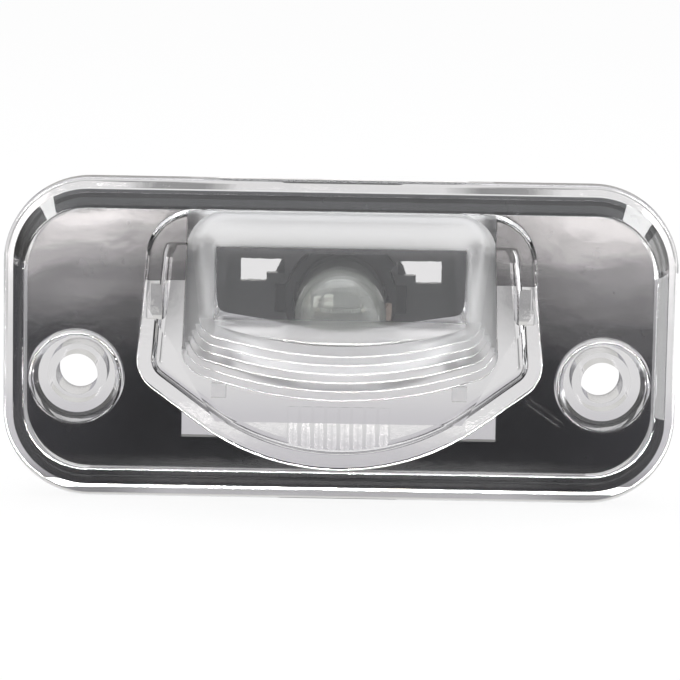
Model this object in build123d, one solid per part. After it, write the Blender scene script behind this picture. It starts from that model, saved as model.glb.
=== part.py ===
from build123d import *
from math import atan, cos, degrees, hypot, radians, tan
import os

# Number plate lamp with a wedge bulb, in millimetres.
# The front faces -Y and +Z is up. The origin is midway between the two screw holes, on the seating plane.
# Outlines are drawn on planes parallel to the seat, about the centre of the flange. Heights are measured
# from the seat towards the front, so what lies behind the seat has a negative height.

# Clear lens: flange
flange_width = 74.0
flange_height = 35.4
flange_corner = 9.5
rim_height = 2.0
rim_side = 1.05
rim_edge = 1.3
rim_round = 0.5
slope_side = 1.3
slope_edge = 1.85
panel_rise = 1.4
panel_round = 0.3
lens_wall = 1.8
recess_draft = 0.3

# Screw holes in their cups
screw_spacing = 58.0
screw_drop = 4.4
screw_bore = 4.6
cup_mouth = 10.4
cup_floor = 8.5
cup_depth = 2.8
cup_round = 0.35
cup_base = 1.2
bush_wall = 1.0
bush_back = -5.1

# Raised shield on the panel
shield_top_half = 20.9
shield_low_half = 22.5
shield_corner = -4.0
shield_flank = 36.0
shield_tip = -14.2
shield_top_round = 5.5
shield_side_round = 4.0
shield_rise = 1.8
shield_draft = 8.0
shield_round = 0.3
hollow_round = 1.2
chin_start = 8.6
chin_fall = 7.0
cheek_start = 16.0
cheek_turn = 59.0
cheek_fall = 13.0

# Nose on the shield: its foot, its ridge, the window above and the ribs below
foot_top_half = 16.7
foot_low_half = 17.3
foot_corner = -2.6
foot_flank = 18.0
foot_tip = -5.9
foot_top_round = 4.2
foot_side_round = 3.0
ridge_top_half = 13.9
ridge_low_half = 14.4
ridge_flank = 11.0
ridge_top_round = 3.4
ridge_side_round = 2.2
ridge_rise = 11.3
window_length = 12.15
window_side = 10.2
window_top_rise = 3.1
window_round = 1.6
ridge_spare = 1.0
nose_wall = 2.3
nose_top_wall = 3.9
hollow_corner = 1.0
tongue_back = -4.0
rib_count = 6
rib_round = 0.2
rib_foot_end = -1.2
rib_ridge_spare = 0.65

# Hooks behind the lens that hold the carrier
hook_thickness = 1.4
hook_low = 2.4
hook_top = 6.2
hook_back = -1.6
barb_reach = 0.9
barb_start = -0.2
barb_end = -1.3

# Square pegs behind the shield, below the nose's lower corners
peg_across = 13.2
peg_low = -6.2
peg_top = -4.6
peg_length = 1.2

# Flutes inside the lower part of the shield
flute_count = 8
flute_pitch = 1.42
flute_radius = 1.6
flute_depth = 0.165
flute_low = -13.2
flute_top = -7.0

# Black carrier behind the lens
fit_gap = 0.15
carrier_wall = 1.2
chamber_inset = 3.1
chamber_lift = 0.85
chamber_depth = 9.0
chamber_corner = 2.0
opening_lap = 0.3
opening_top = 6.5
opening_flare = 1.2
flare_top = -6.0
skylight_width = 31.0
skylight_edge = 0.75
notch_width = 34.7
notch_low = -10.9
slot_inner = 6.4
slot_outer = 11.3
slot_step = 8.4
slot_low = 4.7
slot_top = 7.2
slot_rise = 0.9

# Wedge bulb
bulb_rise = 2.8
bulb_radius = 5.0
bulb_front = 8.5
glass_wall = 0.6
glass_floor = 1.0
tube_end = -9.6
pinch_start = -12.0
pinch_end = -18.3
pinch_width = 9.5
pinch_thickness = 2.1
pinch_round = 0.6
wire_spread = 2.6
wire_radius = 0.25
wire_bend = 0.4
wire_tip = -0.8
wire_return = 4.0
wire_gap = 0.05
filament_arch = 1.2
filament_drop = 0.4
filament_radius = 0.28
filament_gap = 0.35

# Twist-in bulb holder and its seal
holder_radius = 6.2
holder_gap = 0.2
holder_front = -8.0
cup_gap = 0.4
cup_end = -12.2
wedge_gap = 0.3
wedge_end = -19.0
tab_reach = 1.0
tab_turn = 45.0
notch_turn = 0.0
tab_width = 3.0
tab_gap = 0.1
collar_radius = 7.8
collar_thickness = 2.0
seal_thickness = 0.8
seal_lip = 0.15
shroud_width = 13.9
shroud_depth = 8.2
shroud_wall = 1.0
shroud_corner = 1.2
shroud_floor = -20.0
shroud_end = -29.0

# Contact strips
strip_thickness = 0.4
strip_width = 3.0
strip_front = -12.6
strip_gap = 0.05
channel_gap = 0.1
blade_width = 2.8
blade_thickness = 0.8
blade_end = -27.5
leg_inner = 5.1
leg_low = -1.4
leg_top = -0.2
lug_width = 0.6
lug_low = -2.2

# Sizes that follow
slope_width = flange_width - 2 * rim_side
slope_depth = flange_height - 2 * rim_edge
slope_corner = flange_corner - rim_edge
panel_width = slope_width - 2 * slope_side
panel_depth = slope_depth - 2 * slope_edge
panel_corner = slope_corner - slope_side
panel_top = panel_depth / 2
panel_height = rim_height + panel_rise
panel_back = panel_height - lens_wall
shield_height = panel_height + shield_rise
shield_back = shield_height - lens_wall
ridge_height = panel_height + ridge_rise
nose_height = ridge_height - shield_height
nose_hollow_top = panel_top - nose_top_wall
ridge_tip = panel_top - window_length
ridge_corner = panel_top - window_side
window_slope = (ridge_rise - window_top_rise) / window_length
chamber_top = nose_hollow_top - fit_gap
skylight_top = panel_top - skylight_edge
cup_bottom = panel_height - cup_depth
slope_stretch = hypot(ridge_tip - foot_tip, nose_height) / nose_height
plate_front = panel_back - fit_gap
flare_angle = degrees(atan(opening_flare / plate_front))
chamber_back = -chamber_depth
wall_back = chamber_back - carrier_wall
seal_back = wall_back - seal_thickness
collar_back = seal_back - collar_thickness
wire_offset = pinch_thickness / 2 + wire_gap + wire_radius
wire_fold = pinch_end - wire_gap - wire_radius
strip_low = wire_offset + wire_radius + strip_gap
strip_top = strip_low + strip_thickness
leg_outer = leg_inner + strip_thickness
barb_outer = shield_top_half + barb_reach
far = 2 * flange_width


def front(height):
    return Plane((0, -height, screw_drop), x_dir=(1, 0, 0), z_dir=(0, -1, 0))


def point(across, up, height):
    return Vector(across, -height, up + screw_drop)


def slab(outline, back, face):
    return extrude(front(back) * outline, face - back)


def drum(radius, back, face, across=0.0, up=0.0):
    return slab(Pos(across, up) * Circle(radius), back, face)


def block(left, right, low, top, back, face):
    size = Rectangle(abs(right - left), abs(top - low))
    return slab(Pos((left + right) / 2, (low + top) / 2) * size, back, face)


def front_edges(solid):
    return solid.faces().sort_by(Axis.Y)[0].edges()


def side_prism(points):
    # A wide prism along X, from points given as (up, height).
    corners = [(-height, up + screw_drop) for up, height in points]
    return extrude(Plane.YZ * make_face(Polyline(corners, close=True)), far, both=True)


def turned(outline, across, up):
    # A solid turned about an axis square to the seat, from an outline of height against radius.
    plane = Plane(point(across, up, 0), x_dir=(1, 0, 0), z_dir=(0, 0, -1))
    return revolve(plane * make_face(outline), Axis(point(across, up, 0), (0, -1, 0)))


def shield_outline(top, top_half, low_half, corner, flank, tip, top_round, side_round):
    # A straight top, sides that spread downwards, and two flanks that meet in a wide round tip.
    lowest = corner - low_half * tan(radians(flank))
    tip_round = (tip - lowest) / (1 / cos(radians(flank)) - 1)
    face = make_face(Polyline(
        (-top_half, top), (top_half, top), (low_half, corner), (0, lowest), (-low_half, corner), close=True))
    face = fillet(face.vertices().sort_by(Axis.Y)[0], tip_round)
    face = fillet([v for v in face.vertices() if abs(v.Y - corner) < 1e-6], side_round)
    return fillet([v for v in face.vertices() if abs(v.Y - top) < 1e-6], top_round)


def panel_shield():
    return shield_outline(panel_top, shield_top_half, shield_low_half, shield_corner, shield_flank,
                          shield_tip, shield_top_round, shield_side_round)


def behind_slope(start, fall, turn=0.0):
    # All that lies behind a slope that falls away from the shield's flat part, from a line at a distance
    # below the flange's centre, turned about that centre.
    steep = tan(radians(fall))
    low_end = shield_height - (far - start) * steep
    high_end = shield_height + (far + start) * steep
    below = side_prism([(-far, low_end), (far, high_end), (far, -far), (-far, -far)])
    return Pos(0, 0, screw_drop) * Rot(0, turn, 0) * Pos(0, 0, -screw_drop) * below


def make_shield():
    # A low platform with steep edges, whose chin and cheeks slope down to them.
    body = extrude(front(panel_height) * panel_shield(), shield_rise, taper=shield_draft)
    body &= behind_slope(chin_start, chin_fall)
    for turn in (-cheek_turn, cheek_turn):
        body &= behind_slope(cheek_start, cheek_fall, turn)
    walls = cos(radians(2 * cheek_fall))
    edges = [edge for face in body.faces() if face.normal_at().Y < -walls for edge in face.edges()]
    outer = [edge for edge in edges if sum(edge.is_same(other) for other in edges) == 1]
    return slab(panel_shield(), panel_back, panel_height) + fillet(outer, shield_round)


def blend(low, high, share):
    return low + (high - low) * share


def nose_outline(share, hollow=False):
    # The section of the nose or of its hollow, from the foot (share 0) to the ridge (share 1).
    side = nose_wall if hollow else 0
    low = lens_wall * slope_stretch if hollow else 0
    return shield_outline(
        nose_hollow_top if hollow else panel_top,
        blend(foot_top_half, ridge_top_half, share) - side,
        blend(foot_low_half, ridge_low_half, share) - side,
        blend(foot_corner, ridge_corner, share) + low,
        blend(foot_flank, ridge_flank, share),
        blend(foot_tip, ridge_tip, share) + low,
        hollow_corner if hollow else blend(foot_top_round, ridge_top_round, share),
        hollow_corner if hollow else blend(foot_side_round, ridge_side_round, share))


def nose_loft(low, hollow=False):
    # From a height up to a little beyond the ridge, where the window cuts it off.
    sections = []
    for height in (low, ridge_height + ridge_spare):
        share = (height - shield_height) / nose_height
        sections.append(front(height) * nose_outline(share, hollow))
    return loft(sections, ruled=True)


def window_height(up):
    return ridge_height - (up - ridge_tip) * window_slope


def under_window(inset):
    # All that lies behind the sloping window.
    drop = inset * hypot(1, window_slope)
    return side_prism([(far, -far), (far, window_height(far) - drop), (-far, window_height(-far) - drop),
                       (-far, -far)])


def make_nose():
    # A loft cut off by the sloping window, whose edges are rounded. Its hollow is cut later.
    core = slab(nose_outline(0), panel_back, shield_height) + nose_loft(shield_height)
    core &= under_window(0)
    middle = (panel_top + ridge_tip) / 2
    window = core.faces().sort_by_distance(point(0, middle, window_height(middle)))[0]
    return fillet(window.edges(), window_round) + ribs()


def ribs():
    # Rounded terraces that climb the lower wall of the nose and stop short of the ridge.
    steps = rib_count + 1
    step = nose_height / steps
    terraces = []
    for i in range(rib_count):
        low = shield_height + i * step
        terrace = slab(nose_outline(i / steps), low, low + step)
        terraces.append(fillet(front_edges(terrace), rib_round))
    below = side_prism([(rib_foot_end, shield_height), (ridge_corner + rib_ridge_spare, ridge_height),
                        (-flange_height, ridge_height), (-flange_height, shield_height)])
    return (terraces[0] + terraces[1:]) & below


def flutes():
    # Shallow upright ridges on the back of the shield's lower part.
    centre = shield_back - flute_depth + flute_radius
    length = flute_top - flute_low
    behind = block(-far, far, -far, far, 0, shield_back)
    rows = []
    for i in range(flute_count):
        across = (i - (flute_count - 1) / 2) * flute_pitch
        foot = Plane(point(across, flute_low, centre), z_dir=(0, 0, 1))
        rows.append(extrude(foot * Circle(flute_radius), length) & behind)
    return rows


def frustum(width, depth, corner, face_width, face_depth, face_corner, back, face):
    return loft([front(back) * RectangleRounded(width, depth, corner),
                 front(face) * RectangleRounded(face_width, face_depth, face_corner)], ruled=True)


def recess(gap):
    # The hollow behind the panel that the carrier's plate fills, less a gap all round.
    cut = 2 * gap
    face_cut = cut + 2 * recess_draft
    return frustum(slope_width - cut, slope_depth - cut, slope_corner - gap,
                   panel_width - face_cut, panel_depth - face_cut, panel_corner - gap, 0, panel_back - gap)


def make_lens():
    rim = slab(RectangleRounded(flange_width, flange_height, flange_corner), 0, rim_height)
    rim = fillet(front_edges(rim), rim_round)
    panel = frustum(slope_width, slope_depth, slope_corner, panel_width, panel_depth, panel_corner,
                    rim_height, panel_height)
    panel = fillet(front_edges(panel), panel_round)
    hollow = slab(offset(panel_shield(), -lens_wall), 0, shield_back)
    hollow = fillet(front_edges(hollow), hollow_round)
    hollow &= block(-far, far, -far, nose_hollow_top, 0, shield_back)
    hollow += nose_loft(shield_back, hollow=True) & under_window(lens_wall)
    body = rim + panel - recess(0)
    body = body + make_shield() + make_nose() - hollow + flutes() + tongue()
    for side in (-1, 1):
        across = side * screw_spacing / 2
        body += drum(cup_mouth / 2, cup_bottom - cup_base, panel_height, across, -screw_drop)
        body += drum(screw_bore / 2 + bush_wall, bush_back, cup_bottom, across, -screw_drop)
        body += hook(side) + peg(side)
        body -= cup_space(across)
        body -= drum(screw_bore / 2, bush_back, panel_height, across, -screw_drop)
    return body


def tongue():
    # The nose's solid top wall goes on behind the panel, through the carrier.
    half = skylight_width / 2 - fit_gap
    return block(-half, half, nose_hollow_top, skylight_top - fit_gap, tongue_back, panel_back)


def hook(side):
    # A tab behind the shield's side wall, with a barb that catches the back of the carrier's plate.
    outer = side * shield_top_half
    stem = block(outer, outer - side * hook_thickness, hook_low, hook_top, hook_back, shield_back)
    return stem + block(outer, side * barb_outer, hook_low, hook_top, barb_end, barb_start)


def peg(side):
    half = (peg_top - peg_low) / 2
    across = side * peg_across
    return block(across - half, across + half, peg_low, peg_top, shield_back - peg_length, shield_back)


def cup_space(across):
    # The room for a screw head, with a rounded mouth.
    mouth = cup_mouth / 2
    neck = mouth - cup_round
    outline = Line((0, cup_bottom), (cup_floor / 2, cup_bottom))
    outline += Line((cup_floor / 2, cup_bottom), (neck, panel_height - cup_round))
    outline += RadiusArc((neck, panel_height - cup_round), (mouth, panel_height), cup_round)
    outline += Line((mouth, panel_height), (0, panel_height))
    outline += Line((0, panel_height), (0, cup_bottom))
    return turned(outline, across, -screw_drop)


def light_slot(side):
    # An opening in the chamber's back wall, whose lower edge steps up towards the holder.
    outer = side * slot_outer
    inner_part = block(side * slot_inner, outer, slot_low + slot_rise, slot_top, wall_back, chamber_back)
    return inner_part + block(side * slot_step, outer, slot_low, slot_top, wall_back, chamber_back)


def chamber():
    return shield_outline(chamber_top, foot_top_half - chamber_inset, foot_low_half - chamber_inset,
                          foot_corner + chamber_lift, foot_flank, foot_tip + chamber_lift,
                          chamber_corner, chamber_corner)


def plate_opening():
    # The hole behind the shield, whose lower edge widens towards the back.
    outline = offset(panel_shield(), -opening_lap)
    straight = slab(outline, 0, plate_front)
    flare = extrude(front(plate_front) * outline, -plate_front, taper=-flare_angle)
    hole = straight & block(-far, far, -far, opening_top, 0, plate_front)
    return hole + (flare & block(-far, far, -far, flare_top, 0, plate_front))


def make_carrier():
    # A plate behind the panel, with the chamber held between its two upper corners.
    plate = recess(fit_gap) - plate_opening()
    plate -= block(-notch_width / 2, notch_width / 2, notch_low, opening_top, 0, plate_front)
    plate -= block(-skylight_width / 2, skylight_width / 2, chamber_top, skylight_top, 0, plate_front)
    for side in (-1, 1):
        plate -= drum(cup_mouth / 2 + fit_gap, 0, plate_front, side * screw_spacing / 2, -screw_drop)
    body = plate + slab(chamber(), wall_back, plate_front)
    body -= slab(offset(chamber(), -carrier_wall), chamber_back, plate_front)
    body -= drum(holder_radius + holder_gap, wall_back, chamber_back, 0, bulb_rise)
    body -= tab_pair(notch_turn, wall_back, chamber_back, holder_gap)
    for side in (-1, 1):
        body -= light_slot(side)
    return body


def tab_pair(turn, back, face, gap=0.0):
    # Two bayonet tabs on opposite sides of the holder, or with a gap, the notches that let them in.
    reach = 2 * (holder_radius + tab_reach + gap)
    return slab(Pos(0, bulb_rise) * Rot(0, 0, turn) * Rectangle(reach, tab_width + gap), back, face)


def bulb_turn(radius, start, tip):
    # A tube with a half-round end, turned about the bulb's axis.
    straight = tip - radius
    outline = Line((0, start), (radius, start))
    outline += Line((radius, start), (radius, straight))
    outline += RadiusArc((radius, straight), (0, tip), -radius)
    outline += Line((0, tip), (0, start))
    return turned(outline, 0, bulb_rise)


def make_lead_wire(side):
    across = side * wire_spread
    over = bulb_rise + side * wire_offset
    path = FilletPolyline(point(across, bulb_rise, wire_tip), point(across, bulb_rise, wire_fold),
                          point(across, over, wire_fold), point(across, over, wire_fold + wire_return),
                          radius=wire_bend)
    start = Plane(path @ 0, z_dir=path % 0)
    return sweep(start * Circle(wire_radius), path)


def make_filament():
    end = wire_spread - wire_radius - filament_gap
    path = ThreePointArc(point(-end, bulb_rise, wire_tip - filament_drop),
                         point(0, bulb_rise, wire_tip + filament_arch),
                         point(end, bulb_rise, wire_tip - filament_drop))
    start = Plane(path @ 0, z_dir=path % 0)
    return sweep(start * Circle(filament_radius), path)


def make_bulb_glass(wires):
    tube = bulb_turn(bulb_radius, tube_end, bulb_front)
    shoulder = drum(bulb_radius, pinch_start, tube_end, 0, bulb_rise)
    half = pinch_thickness / 2
    shoulder &= side_prism([(bulb_rise + bulb_radius, tube_end), (bulb_rise + half, pinch_start),
                            (bulb_rise - half, pinch_start), (bulb_rise - bulb_radius, tube_end)])
    pinch = slab(Pos(0, bulb_rise) * RectangleRounded(pinch_width, pinch_thickness, pinch_round),
                 pinch_end, pinch_start)
    inside = bulb_turn(bulb_radius - glass_wall, tube_end + glass_floor, bulb_front - glass_wall)
    return tube + shoulder + pinch - inside - wires


def make_holder():
    body = drum(holder_radius, collar_back, holder_front, 0, bulb_rise)
    body += drum(collar_radius, collar_back, seal_back, 0, bulb_rise)
    body += tab_pair(tab_turn, chamber_back + tab_gap, holder_front)
    at_bulb = Pos(0, bulb_rise)
    shroud = RectangleRounded(shroud_width, shroud_depth, shroud_corner)
    body += slab(at_bulb * shroud, shroud_end, collar_back)
    body -= slab(at_bulb * Rectangle(shroud_width - 2 * shroud_wall, shroud_depth - 2 * shroud_wall),
                 shroud_end, shroud_floor)
    body -= drum(bulb_radius + cup_gap, cup_end, holder_front, 0, bulb_rise)
    body -= slab(at_bulb * Rectangle(pinch_width + 2 * wedge_gap, pinch_thickness + 2 * wedge_gap),
                 wedge_end, cup_end)
    for side in (-1, 1):
        near = side * (wire_spread - strip_width / 2 - channel_gap)
        away = side * (wire_spread + strip_width / 2 + channel_gap)
        over = bulb_rise + side * (strip_top + channel_gap)
        body -= block(near, away, bulb_rise, over, shroud_floor, cup_end)
    body -= block(leg_inner - channel_gap, leg_outer + channel_gap, bulb_rise + leg_low - channel_gap,
                  bulb_rise + leg_top + channel_gap, shroud_floor, holder_front)
    return body


def make_seal():
    ring = drum(collar_radius - seal_lip, seal_back, wall_back, 0, bulb_rise)
    return ring - drum(holder_radius + seal_lip, seal_back, wall_back, 0, bulb_rise)


def contact_strip(side):
    # A spring that bears on a folded lead wire, and the blade behind it.
    near = side * (wire_spread - strip_width / 2)
    away = side * (wire_spread + strip_width / 2)
    spring = block(near, away, bulb_rise + side * strip_low, bulb_rise + side * strip_top,
                   shroud_floor, strip_front)
    centre = bulb_rise + side * (strip_low + strip_top) / 2
    blade = slab(Pos(side * wire_spread, centre) * Rectangle(blade_width, blade_thickness),
                 blade_end, shroud_floor)
    return spring + blade


def make_feed_contact():
    # The feed has a cross plate on the shroud's floor, a leg through the holder and a lug on its face.
    low = bulb_rise + leg_low
    top = bulb_rise + leg_top
    cross = block(wire_spread - strip_width / 2, leg_outer, low, bulb_rise + strip_top,
                  shroud_floor - strip_thickness, shroud_floor)
    leg = block(leg_inner, leg_outer, low, top, shroud_floor, holder_front)
    lug = block(leg_inner, leg_inner + lug_width, bulb_rise + lug_low, top,
                holder_front, holder_front + strip_thickness)
    return contact_strip(1) + cross + leg + lug


lead_wires = [make_lead_wire(side) for side in (-1, 1)]
pieces = {
    "lens": make_lens(),
    "carrier": make_carrier(),
    "bulb_glass": make_bulb_glass(lead_wires),
    "bulb_filament": make_filament(),
    "lead_wire_left": lead_wires[0],
    "lead_wire_right": lead_wires[1],
    "bulb_holder": make_holder(),
    "holder_seal": make_seal(),
    "feed_contact": make_feed_contact(),
    "earth_contact": contact_strip(-1),
}

os.makedirs("parts", exist_ok=True)
for name, piece in pieces.items():
    export_step(piece, os.path.join("parts", name + ".step"))
    print(name, round(piece.volume, 2))
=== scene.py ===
import math
import bpy
from mathutils import Matrix, Vector


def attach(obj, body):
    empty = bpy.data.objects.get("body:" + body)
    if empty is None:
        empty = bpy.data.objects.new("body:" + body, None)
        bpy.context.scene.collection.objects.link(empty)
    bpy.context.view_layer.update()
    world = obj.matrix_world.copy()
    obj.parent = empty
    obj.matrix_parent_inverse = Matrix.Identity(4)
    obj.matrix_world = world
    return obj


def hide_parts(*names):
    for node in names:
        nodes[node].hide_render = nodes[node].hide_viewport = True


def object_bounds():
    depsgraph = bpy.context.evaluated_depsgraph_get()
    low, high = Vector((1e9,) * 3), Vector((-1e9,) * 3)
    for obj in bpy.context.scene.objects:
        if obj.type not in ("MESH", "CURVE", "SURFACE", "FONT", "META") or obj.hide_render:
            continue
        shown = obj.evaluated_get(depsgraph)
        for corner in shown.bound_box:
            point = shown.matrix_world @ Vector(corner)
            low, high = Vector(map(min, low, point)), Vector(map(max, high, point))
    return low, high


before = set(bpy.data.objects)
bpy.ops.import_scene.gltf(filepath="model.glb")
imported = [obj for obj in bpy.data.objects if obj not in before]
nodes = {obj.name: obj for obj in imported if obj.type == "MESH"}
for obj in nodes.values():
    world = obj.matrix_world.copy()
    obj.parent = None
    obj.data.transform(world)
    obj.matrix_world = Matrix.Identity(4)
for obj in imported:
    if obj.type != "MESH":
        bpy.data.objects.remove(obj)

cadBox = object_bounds()
perMetre = 1000.0  # millimetres
flangeRise = 0.0044  # the flange's middle stands this far above the line of the screws
print("frame loaded:", len(nodes), "CAD nodes")


def place(across, up, height):
    # millimetres about the flange's middle, as the lamp is drawn from the front
    return Vector((across / perMetre, -height / perMetre, up / perMetre + flangeRise))


def startFresh():
    if bpy.context.object and bpy.context.object.mode != "OBJECT":
        bpy.ops.object.mode_set(mode="OBJECT")
    bpy.ops.object.select_all(action="DESELECT")


def setSocket(tree, socket, value):
    # linked where the value comes out of a node, and plain otherwise
    if isinstance(value, bpy.types.NodeSocket):
        tree.links.new(value, socket)
    else:
        socket.default_value = value


def addNode(tree, kind, values=None, **settings):
    node = tree.nodes.new(kind)
    for key, value in settings.items():
        setattr(node, key, value)
    for key, value in (values or {}).items():
        setSocket(tree, node.inputs[key], value)
    return node


def addMath(tree, operation, *values):
    node = addNode(tree, "ShaderNodeMath", dict(enumerate(values)), operation=operation)
    return node.outputs[0]


def multiply(tree, product, *others):
    for other in others:
        product = addMath(tree, "MULTIPLY", product, other)
    return product


def rampValue(tree, value, none=0.0, full=1.0, low=0.0, high=1.0):
    # low up to where the value is none, high from where it is full
    node = addNode(tree, "ShaderNodeMapRange", {
        "Value": value, "From Min": none, "From Max": full, "To Min": low, "To Max": high})
    return node.outputs["Result"]


def mixValues(tree, factor, first, second):
    mix = addNode(tree, "ShaderNodeMix", {"Factor": factor, "A": first, "B": second}, data_type="FLOAT")
    return mix.outputs["Result"]


def mixColours(tree, factor, first, second):
    mix = addNode(tree, "ShaderNodeMix", {"Factor": factor}, data_type="RGBA")
    for key, colour in (("A", first), ("B", second)):
        linked = isinstance(colour, bpy.types.NodeSocket)
        setSocket(tree, mix.inputs[key], colour if linked else (*colour, 1))
    return mix.outputs["Result"]


nodeGap = {"column": 220, "row": 190}


def arrangeNodes(tree):
    # each node stands at least a column before those that read it
    columns = dict.fromkeys(tree.nodes.keys(), 0)
    for sweep in range(len(tree.nodes)):
        for link in tree.links:
            source, reader = link.from_node.name, link.to_node.name
            columns[source] = max(columns[source], columns[reader] + 1)
    filled = dict.fromkeys(columns.values(), 0)
    for node in tree.nodes:
        column = columns[node.name]
        node.location = (-column * nodeGap["column"], -filled[column] * nodeGap["row"])
        filled[column] += 1


def newGroup(name, takes, gives):
    group = bpy.data.node_groups.new(name, "ShaderNodeTree")
    group.interface.new_socket(name="Vector", in_out="INPUT", socket_type="NodeSocketVector")
    for label, default in takes.items():
        socket = group.interface.new_socket(name=label, in_out="INPUT", socket_type="NodeSocketFloat")
        socket.default_value = default
    group.interface.new_socket(name=gives, in_out="OUTPUT", socket_type="NodeSocketFloat")
    start = addNode(group, "NodeGroupInput")
    end = addNode(group, "NodeGroupOutput")
    return group, start.outputs, end.inputs[gives]


# slow waves of moulded plastic, with finer ones on top
flowSettings = {
    "inputs": {"Scale": 120.0, "Fine": 0.2}, "finer": 6.0,
    "slow": {"Detail": 1.0, "Roughness": 0.4}, "fine": {"Detail": 3.0, "Roughness": 0.55},
}


def makeMouldFlow(settings):
    group, given, result = newGroup("mouldFlow", settings["inputs"], "Height")
    scales = {"slow": given["Scale"], "fine": multiply(group, given["Scale"], settings["finer"])}
    waves = {}
    for part, scale in scales.items():
        values = {"Vector": given["Vector"], "Scale": scale, **settings[part]}
        waves[part] = addNode(group, "ShaderNodeTexNoise", values).outputs["Fac"]
    share = multiply(group, waves["fine"], given["Fine"])
    setSocket(group, result, addMath(group, "ADD", waves["slow"], share))
    arrangeNodes(group)
    return group


# a thin patchy film
filmSettings = {
    "inputs": {"Patch": 200.0, "Amount": 0.5},
    "noise": {"Detail": 4.0, "Roughness": 0.6}, "spread": (0.42, 0.75),
}


def makeDustFilm(settings):
    group, given, result = newGroup("dustFilm", settings["inputs"], "Mask")
    values = {"Vector": given["Vector"], "Scale": given["Patch"], **settings["noise"]}
    film = addNode(group, "ShaderNodeTexNoise", values).outputs["Fac"]
    setSocket(group, result, multiply(group, rampValue(group, film, *settings["spread"]), given["Amount"]))
    arrangeNodes(group)
    return group


mouldFlow = makeMouldFlow(flowSettings)
dustFilm = makeDustFilm(filmSettings)


def useGroup(tree, group, vector, values):
    node = addNode(tree, "ShaderNodeGroup", {"Vector": vector, **values}, node_tree=group)
    return node.outputs[0]


def startFinish(name, settings):
    # colour and fixed values are set, and gloss and height come back for the finish to change
    material = bpy.data.materials.new(name)
    material.use_nodes = True
    tree = material.node_tree
    shader = tree.nodes["Principled BSDF"]
    for key, value in settings["fixed"].items():
        shader.inputs[key].default_value = value
    vector = addNode(tree, "ShaderNodeTexCoord").outputs["Object"]
    dust = useGroup(tree, dustFilm, vector, settings["dust"])
    setSocket(tree, shader.inputs["Base Color"], mixColours(tree, dust, settings["clean"], settings["worn"]))
    low, high = settings["gloss"]
    gloss = rampValue(tree, dust, low=low, high=high)
    height = useGroup(tree, mouldFlow, vector, settings["grain"])
    return material, vector, gloss, height


def endFinish(material, roughness, height, settings):
    tree = material.node_tree
    shader = tree.nodes["Principled BSDF"]
    bump = addNode(tree, "ShaderNodeBump", {"Height": height, **settings["bump"]})
    setSocket(tree, shader.inputs["Roughness"], roughness)
    setSocket(tree, shader.inputs["Normal"], bump.outputs["Normal"])
    arrangeNodes(tree)
    return material


def makeFinish(name, settings):
    material, vector, gloss, height = startFinish(name, settings)
    return endFinish(material, gloss, height, settings)


def lampPlace(tree, vector):
    # the undoing of place: millimetres across, up and towards the viewer
    axes = addNode(tree, "ShaderNodeSeparateXYZ", {0: vector}).outputs
    across = multiply(tree, axes["X"], perMetre)
    up = multiply(tree, addMath(tree, "SUBTRACT", axes["Z"], flangeRise), perMetre)
    height = multiply(tree, axes["Y"], -perMetre)
    return across, up, height


# two fine scratches side by side, low on the right of the panel, in millimetres
# pairs give where a mark is none and where it is full, and fade is in shares of half its length
scuffMark = {
    "start": (20.8, -6.1), "end": (24.5, -8.8), "apart": 0.62, "width": (0.09, 0.03), "face": (2.9, 3.1),
    "fade": (1.1, 0.8), "roughness": 0.2, "groove": 1.2,
}


def makeScuff(tree, vector, settings):
    start, end = place(*settings["start"], 0), place(*settings["end"], 0)
    middle, along = (start + end) / 2, (end - start).normalized()
    across = Vector((-along.z, 0, along.x))
    offsets = []
    for direction in (along, across):
        dot = addNode(tree, "ShaderNodeVectorMath", {0: vector, 1: direction}, operation="DOT_PRODUCT")
        shift = addMath(tree, "SUBTRACT", dot.outputs["Value"], middle.dot(direction))
        offsets.append(multiply(tree, addMath(tree, "ABSOLUTE", shift), perMetre))
    lengthwise, sideways = offsets
    beside = addMath(tree, "ABSOLUTE", addMath(tree, "SUBTRACT", sideways, settings["apart"] / 2))
    half = perMetre * (end - start).length / 2
    height = lampPlace(tree, vector)[2]
    return multiply(tree, rampValue(tree, lengthwise, *[half * share for share in settings["fade"]]),
                    rampValue(tree, beside, *settings["width"]), rampValue(tree, height, *settings["face"]))


# where the mould is finely matt: the ribs, the band round the window and the ends of the pegs
# places up and towards the viewer, or pairs as above
mattZones = {
    "ribs": {"foot": (-1.2, 5.2), "ridge": (5.0, 14.7), "edge": 0.3, "roughness": 0.3},
    "band": {"side": (13.2, 13.8), "top": (10.9, 11.5), "reach": (16.9, 16.6), "topFace": (3.8, 4.1),
             "roughness": 0.55},
    "pegs": {"across": 13.2, "up": -5.4, "half": (0.8364, 0.82), "end": (2.6, 2.3), "roughness": 0.5},
    "face": (5.4, 5.7),
}


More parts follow.
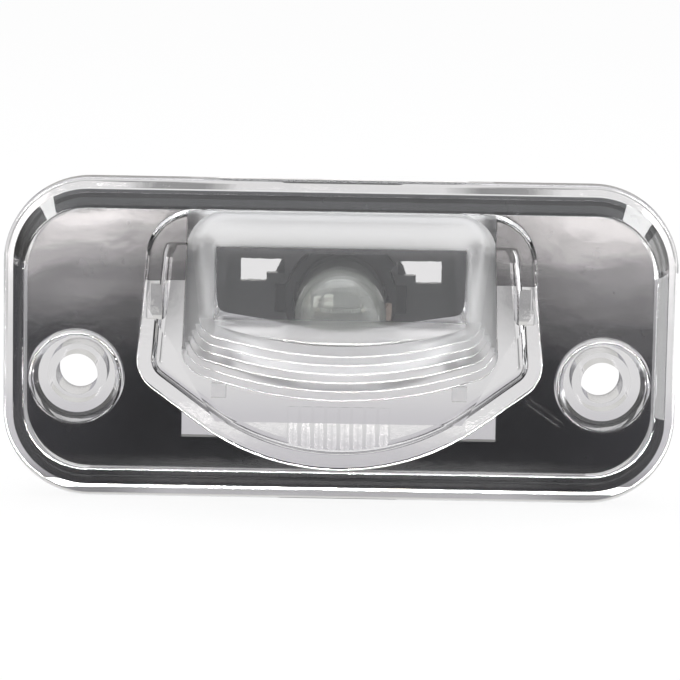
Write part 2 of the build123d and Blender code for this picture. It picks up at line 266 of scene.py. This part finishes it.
def makeMattZones(tree, vector, settings):
    across, up, height = lampPlace(tree, vector)
    across = addMath(tree, "ABSOLUTE", across)
    raised = rampValue(tree, height, *settings["face"])

    # the ribs lie under a line that climbs from the foot to the ridge
    ribs = settings["ribs"]
    (footUp, footHeight), (ridgeUp, ridgeHeight) = ribs["foot"], ribs["ridge"]
    slope = (ridgeUp - footUp) / (ridgeHeight - footHeight)
    border = footUp - slope * footHeight
    over = addMath(tree, "SUBTRACT", up, multiply(tree, height, slope))
    ribbed = multiply(tree, rampValue(tree, over, border, border - ribs["edge"]), raised)

    band = settings["band"]
    beside = multiply(tree, rampValue(tree, across, *band["side"]), raised)
    above = multiply(tree, rampValue(tree, up, *band["top"]), rampValue(tree, across, *band["reach"]),
                     rampValue(tree, height, *band["topFace"]))
    banded = addMath(tree, "MAXIMUM", beside, above)

    pegs = settings["pegs"]
    aside = addMath(tree, "ABSOLUTE", addMath(tree, "SUBTRACT", across, pegs["across"]))
    away = addMath(tree, "ABSOLUTE", addMath(tree, "SUBTRACT", up, pegs["up"]))
    within = rampValue(tree, addMath(tree, "MAXIMUM", aside, away), *pegs["half"])
    pegged = multiply(tree, within, rampValue(tree, height, *pegs["end"]))

    rough = 0.0
    for zone, mask in ((ribs, ribbed), (band, banded), (pegs, pegged)):
        rough = addMath(tree, "MAXIMUM", rough, multiply(tree, mask, zone["roughness"]))
    return rough


def makeClearPlastic(name, settings):
    material, vector, gloss, height = startFinish(name, settings)
    tree = material.node_tree
    scuff = makeScuff(tree, vector, scuffMark)
    matt = addMath(tree, "MAXIMUM", gloss, makeMattZones(tree, vector, mattZones))
    roughness = mixValues(tree, scuff, matt, scuffMark["roughness"])
    groove = multiply(tree, scuff, scuffMark["groove"])
    return endFinish(material, roughness, addMath(tree, "SUBTRACT", height, groove), settings)


clearPlastic = {
    "clean": (0.985, 0.988, 0.992), "worn": (0.93, 0.94, 0.95), "gloss": (0.0, 0.05),
    "dust": {"Patch": 160.0, "Amount": 0.3}, "grain": {"Scale": 140.0, "Fine": 0.12},
    "bump": {"Strength": 0.35, "Distance": 0.00009}, "fixed": {"IOR": 1.58, "Transmission Weight": 1.0},
}
blackPlastic = {
    "clean": (0.008, 0.008, 0.009), "worn": (0.02, 0.02, 0.022), "gloss": (0.12, 0.22),
    "dust": {"Patch": 300.0, "Amount": 0.6}, "grain": {"Scale": 900.0, "Fine": 0.5},
    "bump": {"Strength": 0.25, "Distance": 0.00003}, "fixed": {},
}
holderPlastic = {
    "clean": (0.012, 0.012, 0.013), "worn": (0.03, 0.03, 0.032), "gloss": (0.45, 0.65),
    "dust": {"Patch": 300.0, "Amount": 0.6}, "grain": {"Scale": 1400.0, "Fine": 0.6},
    "bump": {"Strength": 0.4, "Distance": 0.00004}, "fixed": {},
}
sealRubber = {
    "clean": (0.016, 0.016, 0.016), "worn": (0.04, 0.04, 0.04), "gloss": (0.7, 0.85),
    "dust": {"Patch": 300.0, "Amount": 0.6}, "grain": {"Scale": 1800.0, "Fine": 0.7},
    "bump": {"Strength": 0.4, "Distance": 0.00004}, "fixed": {},
}
contactMetal = {
    "clean": (0.3, 0.24, 0.2), "worn": (0.16, 0.13, 0.11), "gloss": (0.22, 0.45),
    "dust": {"Patch": 500.0, "Amount": 0.8}, "grain": {"Scale": 1500.0, "Fine": 0.5},
    "bump": {"Strength": 0.2, "Distance": 0.00002}, "fixed": {"Metallic": 1.0},
}
wireMetal = {
    "clean": (0.72, 0.66, 0.58), "worn": (0.42, 0.38, 0.33), "gloss": (0.2, 0.4),
    "dust": {"Patch": 500.0, "Amount": 0.8}, "grain": {"Scale": 2500.0, "Fine": 0.5},
    "bump": {"Strength": 0.2, "Distance": 0.00001}, "fixed": {"Metallic": 1.0},
}
filamentMetal = {
    "clean": (0.62, 0.62, 0.64), "worn": (0.34, 0.34, 0.36), "gloss": (0.3, 0.5),
    "dust": {"Patch": 500.0, "Amount": 0.8}, "grain": {"Scale": 4000.0, "Fine": 0.5},
    "bump": {"Strength": 0.2, "Distance": 0.00001}, "fixed": {"Metallic": 1.0},
}
bulbGlass = {
    "clean": (0.86, 0.88, 0.83), "worn": (0.78, 0.8, 0.75), "gloss": (0.0, 0.02),
    "dust": {"Patch": 260.0, "Amount": 0.3}, "grain": {"Scale": 300.0, "Fine": 0.1},
    "bump": {"Strength": 0.3, "Distance": 0.00004}, "fixed": {"IOR": 1.5, "Transmission Weight": 0.86},
}

finishes = {
    "lens": makeClearPlastic("clearPlastic", clearPlastic),
    "carrier": makeFinish("blackPlastic", blackPlastic),
    "bulb_holder": makeFinish("holderPlastic", holderPlastic),
    "holder_seal": makeFinish("sealRubber", sealRubber),
    "feed_contact": makeFinish("contactMetal", contactMetal),
    "bulb_glass": makeFinish("bulbGlass", bulbGlass),
    "bulb_filament": makeFinish("filamentMetal", filamentMetal),
    "lead_wire_left": makeFinish("wireMetal", wireMetal),
}
finishes["earth_contact"] = finishes["feed_contact"]
finishes["lead_wire_right"] = finishes["lead_wire_left"]
for name, material in finishes.items():
    nodes[name].data.materials[0] = material
print("finishes set:", len(finishes), "nodes")

# the coil in the bulb, in place of the plain rod, in millimetres
coilSettings = {
    "wire": 0.05, "radius": 0.2, "turns": 16, "steps": 12, "sides": 6,
    "reach": 2.28, "rise": 1.6, "up": 2.8, "top": 0.4,
}


def makeCoil(settings):
    startFresh()
    bpy.ops.mesh.primitive_circle_add(
        vertices=settings["sides"], radius=settings["wire"] / perMetre, location=(0, 0, 0))
    coil = bpy.context.object
    coil.name = "coiledFilament"
    quarterTurn = math.pi / 2
    reach, rise = settings["reach"] / perMetre, settings["rise"] / perMetre
    bendRadius = (reach ** 2 + rise ** 2) / (2 * rise)
    bendAngle = 2 * math.asin(reach / bendRadius)
    length = bendRadius * bendAngle
    bpy.ops.object.mode_set(mode="EDIT")
    bpy.ops.mesh.select_all(action="SELECT")
    bpy.ops.transform.rotate(value=quarterTurn, orient_axis="X", center_override=(0, 0, 0))
    bpy.ops.transform.translate(value=(settings["radius"] / perMetre, 0, -length / 2))
    bpy.ops.object.mode_set(mode="OBJECT")
    winding = coil.modifiers.new("winding", "SCREW")
    winding.axis = "Z"
    winding.screw_offset = length / settings["turns"]
    winding.iterations = settings["turns"]
    winding.steps = winding.render_steps = settings["steps"]
    winding.use_normal_calculate = True
    bpy.ops.object.modifier_apply(modifier="winding")
    bpy.ops.object.mode_set(mode="EDIT")
    bpy.ops.mesh.select_all(action="SELECT")
    bpy.ops.transform.rotate(value=quarterTurn, orient_axis="Y", center_override=(0, 0, 0))
    bpy.ops.mesh.normals_make_consistent(inside=False)
    bpy.ops.object.mode_set(mode="OBJECT")
    arch = coil.modifiers.new("arch", "SIMPLE_DEFORM")
    arch.deform_method = "BEND"
    arch.deform_axis = "Z"
    arch.angle = bendAngle
    bpy.ops.object.modifier_apply(modifier="arch")
    coil.data.transform(Matrix.Translation(place(0, settings["up"], settings["top"])))
    bpy.ops.object.shade_smooth()
    coil.data.materials.append(finishes["bulb_filament"])
    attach(coil, "root")
    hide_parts("bulb_filament")
    return coil


coil = makeCoil(coilSettings)
print("coil wound:", [round(perMetre * size, 2) for size in coil.dimensions], "mm")

# painted light and painted shade that reflections and the glass show on the floor, where the camera and matt
# surfaces see it plain
# lengths are millimetres, behind the seat for the stops, which also give a level and a tint
stageSettings = {
    "size": 3000.0, "colour": (0.8, 0.8, 0.8), "darker": 0.97, "mottle": {"Scale": 30.0, "Detail": 2.0},
    "white": 0.9, "peak": 9.5, "reach": (-270.0, 210.0),
    # painted reflections of the floor in front: painted shade near the lamp, painted light far away
    "front": (
        (-262, 9.5, (1.0, 0.955, 0.95)), (-210, 4.4, (1.0, 0.955, 0.96)), (-180, 2.7, (1.0, 0.96, 0.98)),
        (-145, 1.2, (1.0, 0.97, 1.0)), (-105, 0.36, (0.94, 0.92, 1.0)), (-40, 0.28, (0.9, 0.88, 1.0))),
    "ripple": {"Scale": 45.0, "Detail": 3.0, "Roughness": 0.6}, "rippleReach": 45.0,
    "end": (-283.0, -268.0), "beyond": 0.95,
    "middle": {"across": (24.0, 40.0), "least": 0.36},
    # the drop just behind the seat is a painted shadow of the lamp, fading slowly further back
    "under": (
        (-24, 1.0, (1.0, 0.985, 0.99)), (-3, 1.0, (1.0, 0.985, 0.99)), (2, 0.45, (1.0, 0.975, 1.01)),
        (14, 0.5, (1.0, 0.97, 1.02)), (50, 0.56, (1.0, 0.97, 1.01)), (75, 0.7, (1.0, 0.985, 0.985)),
        (200, 0.72, (1.0, 0.98, 0.98))),
    "meeting": (-27.0, -23.0),
    # painted shade at both sides of what the glass shows
    "sides": {"across": (19.0, 26.0), "out": (41.0, 35.0), "far": (100.0, 150.0), "farShade": 0.75,
              "near": (24.0, 10.0), "nearShade": 0.55},
    # a painted highlight strip on the floor, seen in reflections only
    "strip": {"fore": (-11.8, -11.2), "aft": (-5.0, -5.5), "closeAft": (-6.9, -7.3), "close": (5.0, 7.0),
              "level": 80.0, "later": 0.08, "firstBounce": 1.5},
}


def makeLevelRamp(tree, value, stops, settings):
    # the floor's colour along its depth, as a share of the peak
    low, high = settings["reach"]
    ramp = addNode(tree, "ShaderNodeValToRGB", {"Fac": rampValue(tree, value, low, high)})
    elements = ramp.color_ramp.elements
    while len(elements) < len(stops):
        elements.new(0.5)  # it gets its place below
    for element, (depth, level, tint) in zip(elements, stops):
        element.position = (depth - low) / (high - low)
        element.color = (*[level * part / settings["peak"] for part in tint], 1)
    return ramp.outputs["Color"]


def plainLevel(level, settings):
    return [level / settings["peak"]] * 3


def makeFrontPaintedLight(tree, coords, aside, depth, settings):
    # painted shade near the lamp and painted light far in front of it, with an uneven edge, and painted shade
    # across the middle
    wave = addNode(tree, "ShaderNodeTexNoise", {"Vector": coords, **settings["ripple"]}).outputs["Fac"]
    ripple = rampValue(tree, wave, low=-settings["rippleReach"], high=settings["rippleReach"])
    front = makeLevelRamp(tree, addMath(tree, "ADD", depth, ripple), settings["front"], settings)
    lasting = rampValue(tree, depth, *settings["end"])
    front = mixColours(tree, lasting, plainLevel(settings["beyond"], settings), front)
    middle = settings["middle"]
    outer = rampValue(tree, aside, *middle["across"], middle["least"])
    return mixColours(tree, outer, (0, 0, 0), front)


def makeUnderPaintedShade(tree, aside, depth, settings):
    # what shows through the clear parts: a painted shadow from the seat backwards, and painted shade at both
    # sides
    under = makeLevelRamp(tree, depth, settings["under"], settings)
    sides = settings["sides"]
    far = multiply(tree, rampValue(tree, depth, *sides["far"]), rampValue(tree, aside, *sides["out"]),
                   sides["farShade"])
    near = multiply(tree, rampValue(tree, depth, *sides["near"]), sides["nearShade"])
    paintedShade = multiply(tree, addMath(tree, "MAXIMUM", far, near), rampValue(tree, aside, *sides["across"]))
    return mixColours(tree, paintedShade, under, (0, 0, 0))


def makePaintedHighlightStrip(tree, path, depth, settings):
    # a painted highlight: a bright strip on the floor at the lamp's foot that mirrored rays alone see,
    # narrower to what is close above it
    rayLength = multiply(tree, path["Ray Length"], perMetre)
    beyond = rampValue(tree, rayLength, *settings["close"])
    aft = multiply(tree, rampValue(tree, depth, *settings["aft"]), beyond)
    aft = addMath(tree, "MAXIMUM", aft, rampValue(tree, depth, *settings["closeAft"]))
    mirroredOnly = addMath(tree, "SUBTRACT", path["Is Glossy Ray"], path["Is Transmission Ray"])
    first = addMath(tree, "LESS_THAN", path["Ray Depth"], settings["firstBounce"])
    share = rampValue(tree, first, low=settings["later"])
    return multiply(tree, rampValue(tree, depth, *settings["fore"]), aft, mirroredOnly, share)


# the floor's glow with painted light and painted shade for reflections and the glass, and plain white for the
# camera
def makeFloorLevel(tree, path, settings):
    coords = addNode(tree, "ShaderNodeTexCoord").outputs["Object"]
    axes = addNode(tree, "ShaderNodeSeparateXYZ", {0: coords}).outputs
    aside = multiply(tree, addMath(tree, "ABSOLUTE", axes["X"]), perMetre)
    depth = multiply(tree, axes["Y"], perMetre)
    front = makeFrontPaintedLight(tree, coords, aside, depth, settings)
    under = makeUnderPaintedShade(tree, aside, depth, settings)
    near = multiply(tree, rampValue(tree, depth, *settings["meeting"]), path["Is Transmission Ray"])
    level = mixColours(tree, near, front, under)
    strip = settings["strip"]
    level = mixColours(tree, makePaintedHighlightStrip(tree, path, depth, strip), level, plainLevel(strip["level"], settings))
    return mixColours(tree, path["Is Camera Ray"], level, plainLevel(1.0, settings))


def makeFloorFinish(settings):
    material = bpy.data.materials.new("paleFloor")
    material.use_nodes = True
    tree = material.node_tree
    tree.nodes.clear()
    mottle = addNode(tree, "ShaderNodeTexNoise", settings["mottle"]).outputs["Fac"]
    darker = [part * settings["darker"] for part in settings["colour"]]
    pale = mixColours(tree, mottle, settings["colour"], darker)
    matt = addNode(tree, "ShaderNodeBsdfDiffuse", {"Color": pale})
    path = addNode(tree, "ShaderNodeLightPath").outputs
    level = makeFloorLevel(tree, path, settings)
    # the floor glows with painted light and painted shade where reflections and the glass see it
    paintedGlow = addNode(tree, "ShaderNodeEmission", {"Color": level, "Strength": settings["peak"]})
    seen = addMath(tree, "MAXIMUM", path["Is Transmission Ray"], path["Is Glossy Ray"])
    seen = addMath(tree, "MAXIMUM", path["Is Camera Ray"], seen)
    both = addNode(tree, "ShaderNodeMixShader", {
        "Fac": multiply(tree, seen, settings["white"]), 1: matt.outputs[0], 2: paintedGlow.outputs[0]})
    addNode(tree, "ShaderNodeOutputMaterial", {"Surface": both.outputs[0]})
    arrangeNodes(tree)
    return material


def makeFloor(settings):
    startFresh()
    bpy.ops.mesh.primitive_plane_add(size=settings["size"] / perMetre, location=(0, 0, 0))
    floor = bpy.context.object
    floor.name = "paleFloor"
    floor.data.transform(Matrix.Translation((0, 0, cadBox[0].z)))
    floor.data.materials.append(makeFloorFinish(settings))


# the sky's bands from low to high, each with its level in front of the lamp and behind it
skySettings = {
    "turn": (-0.35, 0.35),
    "bands": (
        {"height": 0.12, "front": 0.14, "behind": 0.66, "tint": (1.0, 0.985, 0.955)},
        {"height": 0.62, "front": 1.4, "behind": 0.95, "tint": (0.985, 0.985, 1.0)},
        {"height": 0.92, "front": 1.0, "behind": 1.0, "tint": (0.97, 0.975, 1.0)}),
}


def makeSky(settings):
    world = bpy.data.worlds.new("studio")
    bpy.context.scene.world = world
    world.use_nodes = True
    tree = world.node_tree
    ground = tree.nodes["Background"]
    coords = addNode(tree, "ShaderNodeTexCoord").outputs["Generated"]
    axes = addNode(tree, "ShaderNodeSeparateXYZ", {0: coords}).outputs
    bands = settings["bands"]
    levels = [rampValue(tree, axes["Y"], *settings["turn"], band["front"], band["behind"]) for band in bands]
    level, tint = levels[0], bands[0]["tint"]
    for below, band, bandLevel in zip(bands, bands[1:], levels[1:]):
        lift = rampValue(tree, axes["Z"], below["height"], band["height"])
        level = mixValues(tree, lift, level, bandLevel)
        tint = mixColours(tree, lift, tint, band["tint"])
    camera = addNode(tree, "ShaderNodeLightPath").outputs["Is Camera Ray"]
    setSocket(tree, ground.inputs["Strength"], mixValues(tree, camera, level, 1.0))
    setSocket(tree, ground.inputs["Color"], mixColours(tree, camera, tint, (1, 1, 1)))
    arrangeNodes(tree)


# places and sizes in metres
lampSettings = {
    "topBox": {"at": (0.0, 0.06, 0.5), "size": (0.5, 0.3), "watts": 1.6, "mirroredOnly": False},
    "rightBox": {"at": (0.45, -0.05, 0.06), "size": (0.3, 0.3), "watts": 0.6, "mirroredOnly": False},
    "leftSheen": {"at": (-0.36, -0.3, 0.31), "size": (0.34, 0.34), "watts": 4.6, "mirroredOnly": True},
    "rightSheen": {"at": (0.37, -0.26, 0.31), "size": (0.38, 0.38), "watts": 5.8, "mirroredOnly": True},
}
cardSettings = {"middle": (0.17, 0.0), "lift": 0.0005, "size": (0.18, 0.3), "radiance": 5.0}


def addAreaLamp(name, at, turn, size, watts, mirroredOnly):
    data = bpy.data.lights.new(name, "AREA")
    data.shape = "RECTANGLE"
    data.size, data.size_y = size
    data.energy = watts
    lamp = bpy.data.objects.new(name, data)
    bpy.context.collection.objects.link(lamp)
    lamp.location = at
    lamp.rotation_euler = turn
    lamp.visible_camera = False
    lamp.visible_diffuse = lamp.visible_transmission = not mirroredOnly


def makeLamp(name, settings):
    aim = place(0, 0, 0) - Vector(settings["at"])
    turn = aim.to_track_quat("-Z", "Y").to_euler()
    addAreaLamp(name, turn=turn, **settings)


def makeCard(name, settings):
    # it lies on the floor at the right, face up
    width, length = settings["size"]
    watts = settings["radiance"] * math.pi * width * length
    at = (*settings["middle"], cadBox[0].z + settings["lift"])
    addAreaLamp(name, at, (math.pi, 0, 0), settings["size"], watts, mirroredOnly=True)


# angles in degrees, the aim in millimetres, and metres for the width seen there and the clip
cameraSettings = {
    "elevation": 9.0, "roll": 1.0, "aim": (0, 0, 1),
    "lens": 200.0, "sensor": 36.0, "frame": 0.0749, "clip": (0.01, 20.0),
}


def makeCamera(settings):
    data = bpy.data.cameras.new("photoCamera")
    data.lens = settings["lens"]
    data.sensor_width = settings["sensor"]
    data.clip_start, data.clip_end = settings["clip"]
    camera = bpy.data.objects.new("photoCamera", data)
    bpy.context.collection.objects.link(camera)
    rise = math.radians(settings["elevation"])
    back = Vector((0, -math.cos(rise), math.sin(rise)))
    distance = settings["lens"] / settings["sensor"] * settings["frame"]
    camera.location = place(*settings["aim"]) + back * distance
    facing = (-back).to_track_quat("-Z", "Y").to_matrix().to_4x4()
    facing @= Matrix.Rotation(math.radians(settings["roll"]), 4, "Z")
    camera.rotation_euler = facing.to_euler()
    bpy.context.scene.camera = camera


makeFloor(stageSettings)
makeSky(skySettings)
for name, settings in lampSettings.items():
    makeLamp(name, settings)
makeCard("rightCard", cardSettings)
makeCamera(cameraSettings)
bpy.context.scene.view_settings.view_transform = "Standard"
bpy.context.scene.cycles.transmission_bounces = 32  # the lens and the bulb have many walls in a row
bpy.context.scene.cycles.max_bounces = 40
print("stage, lamps and camera set")
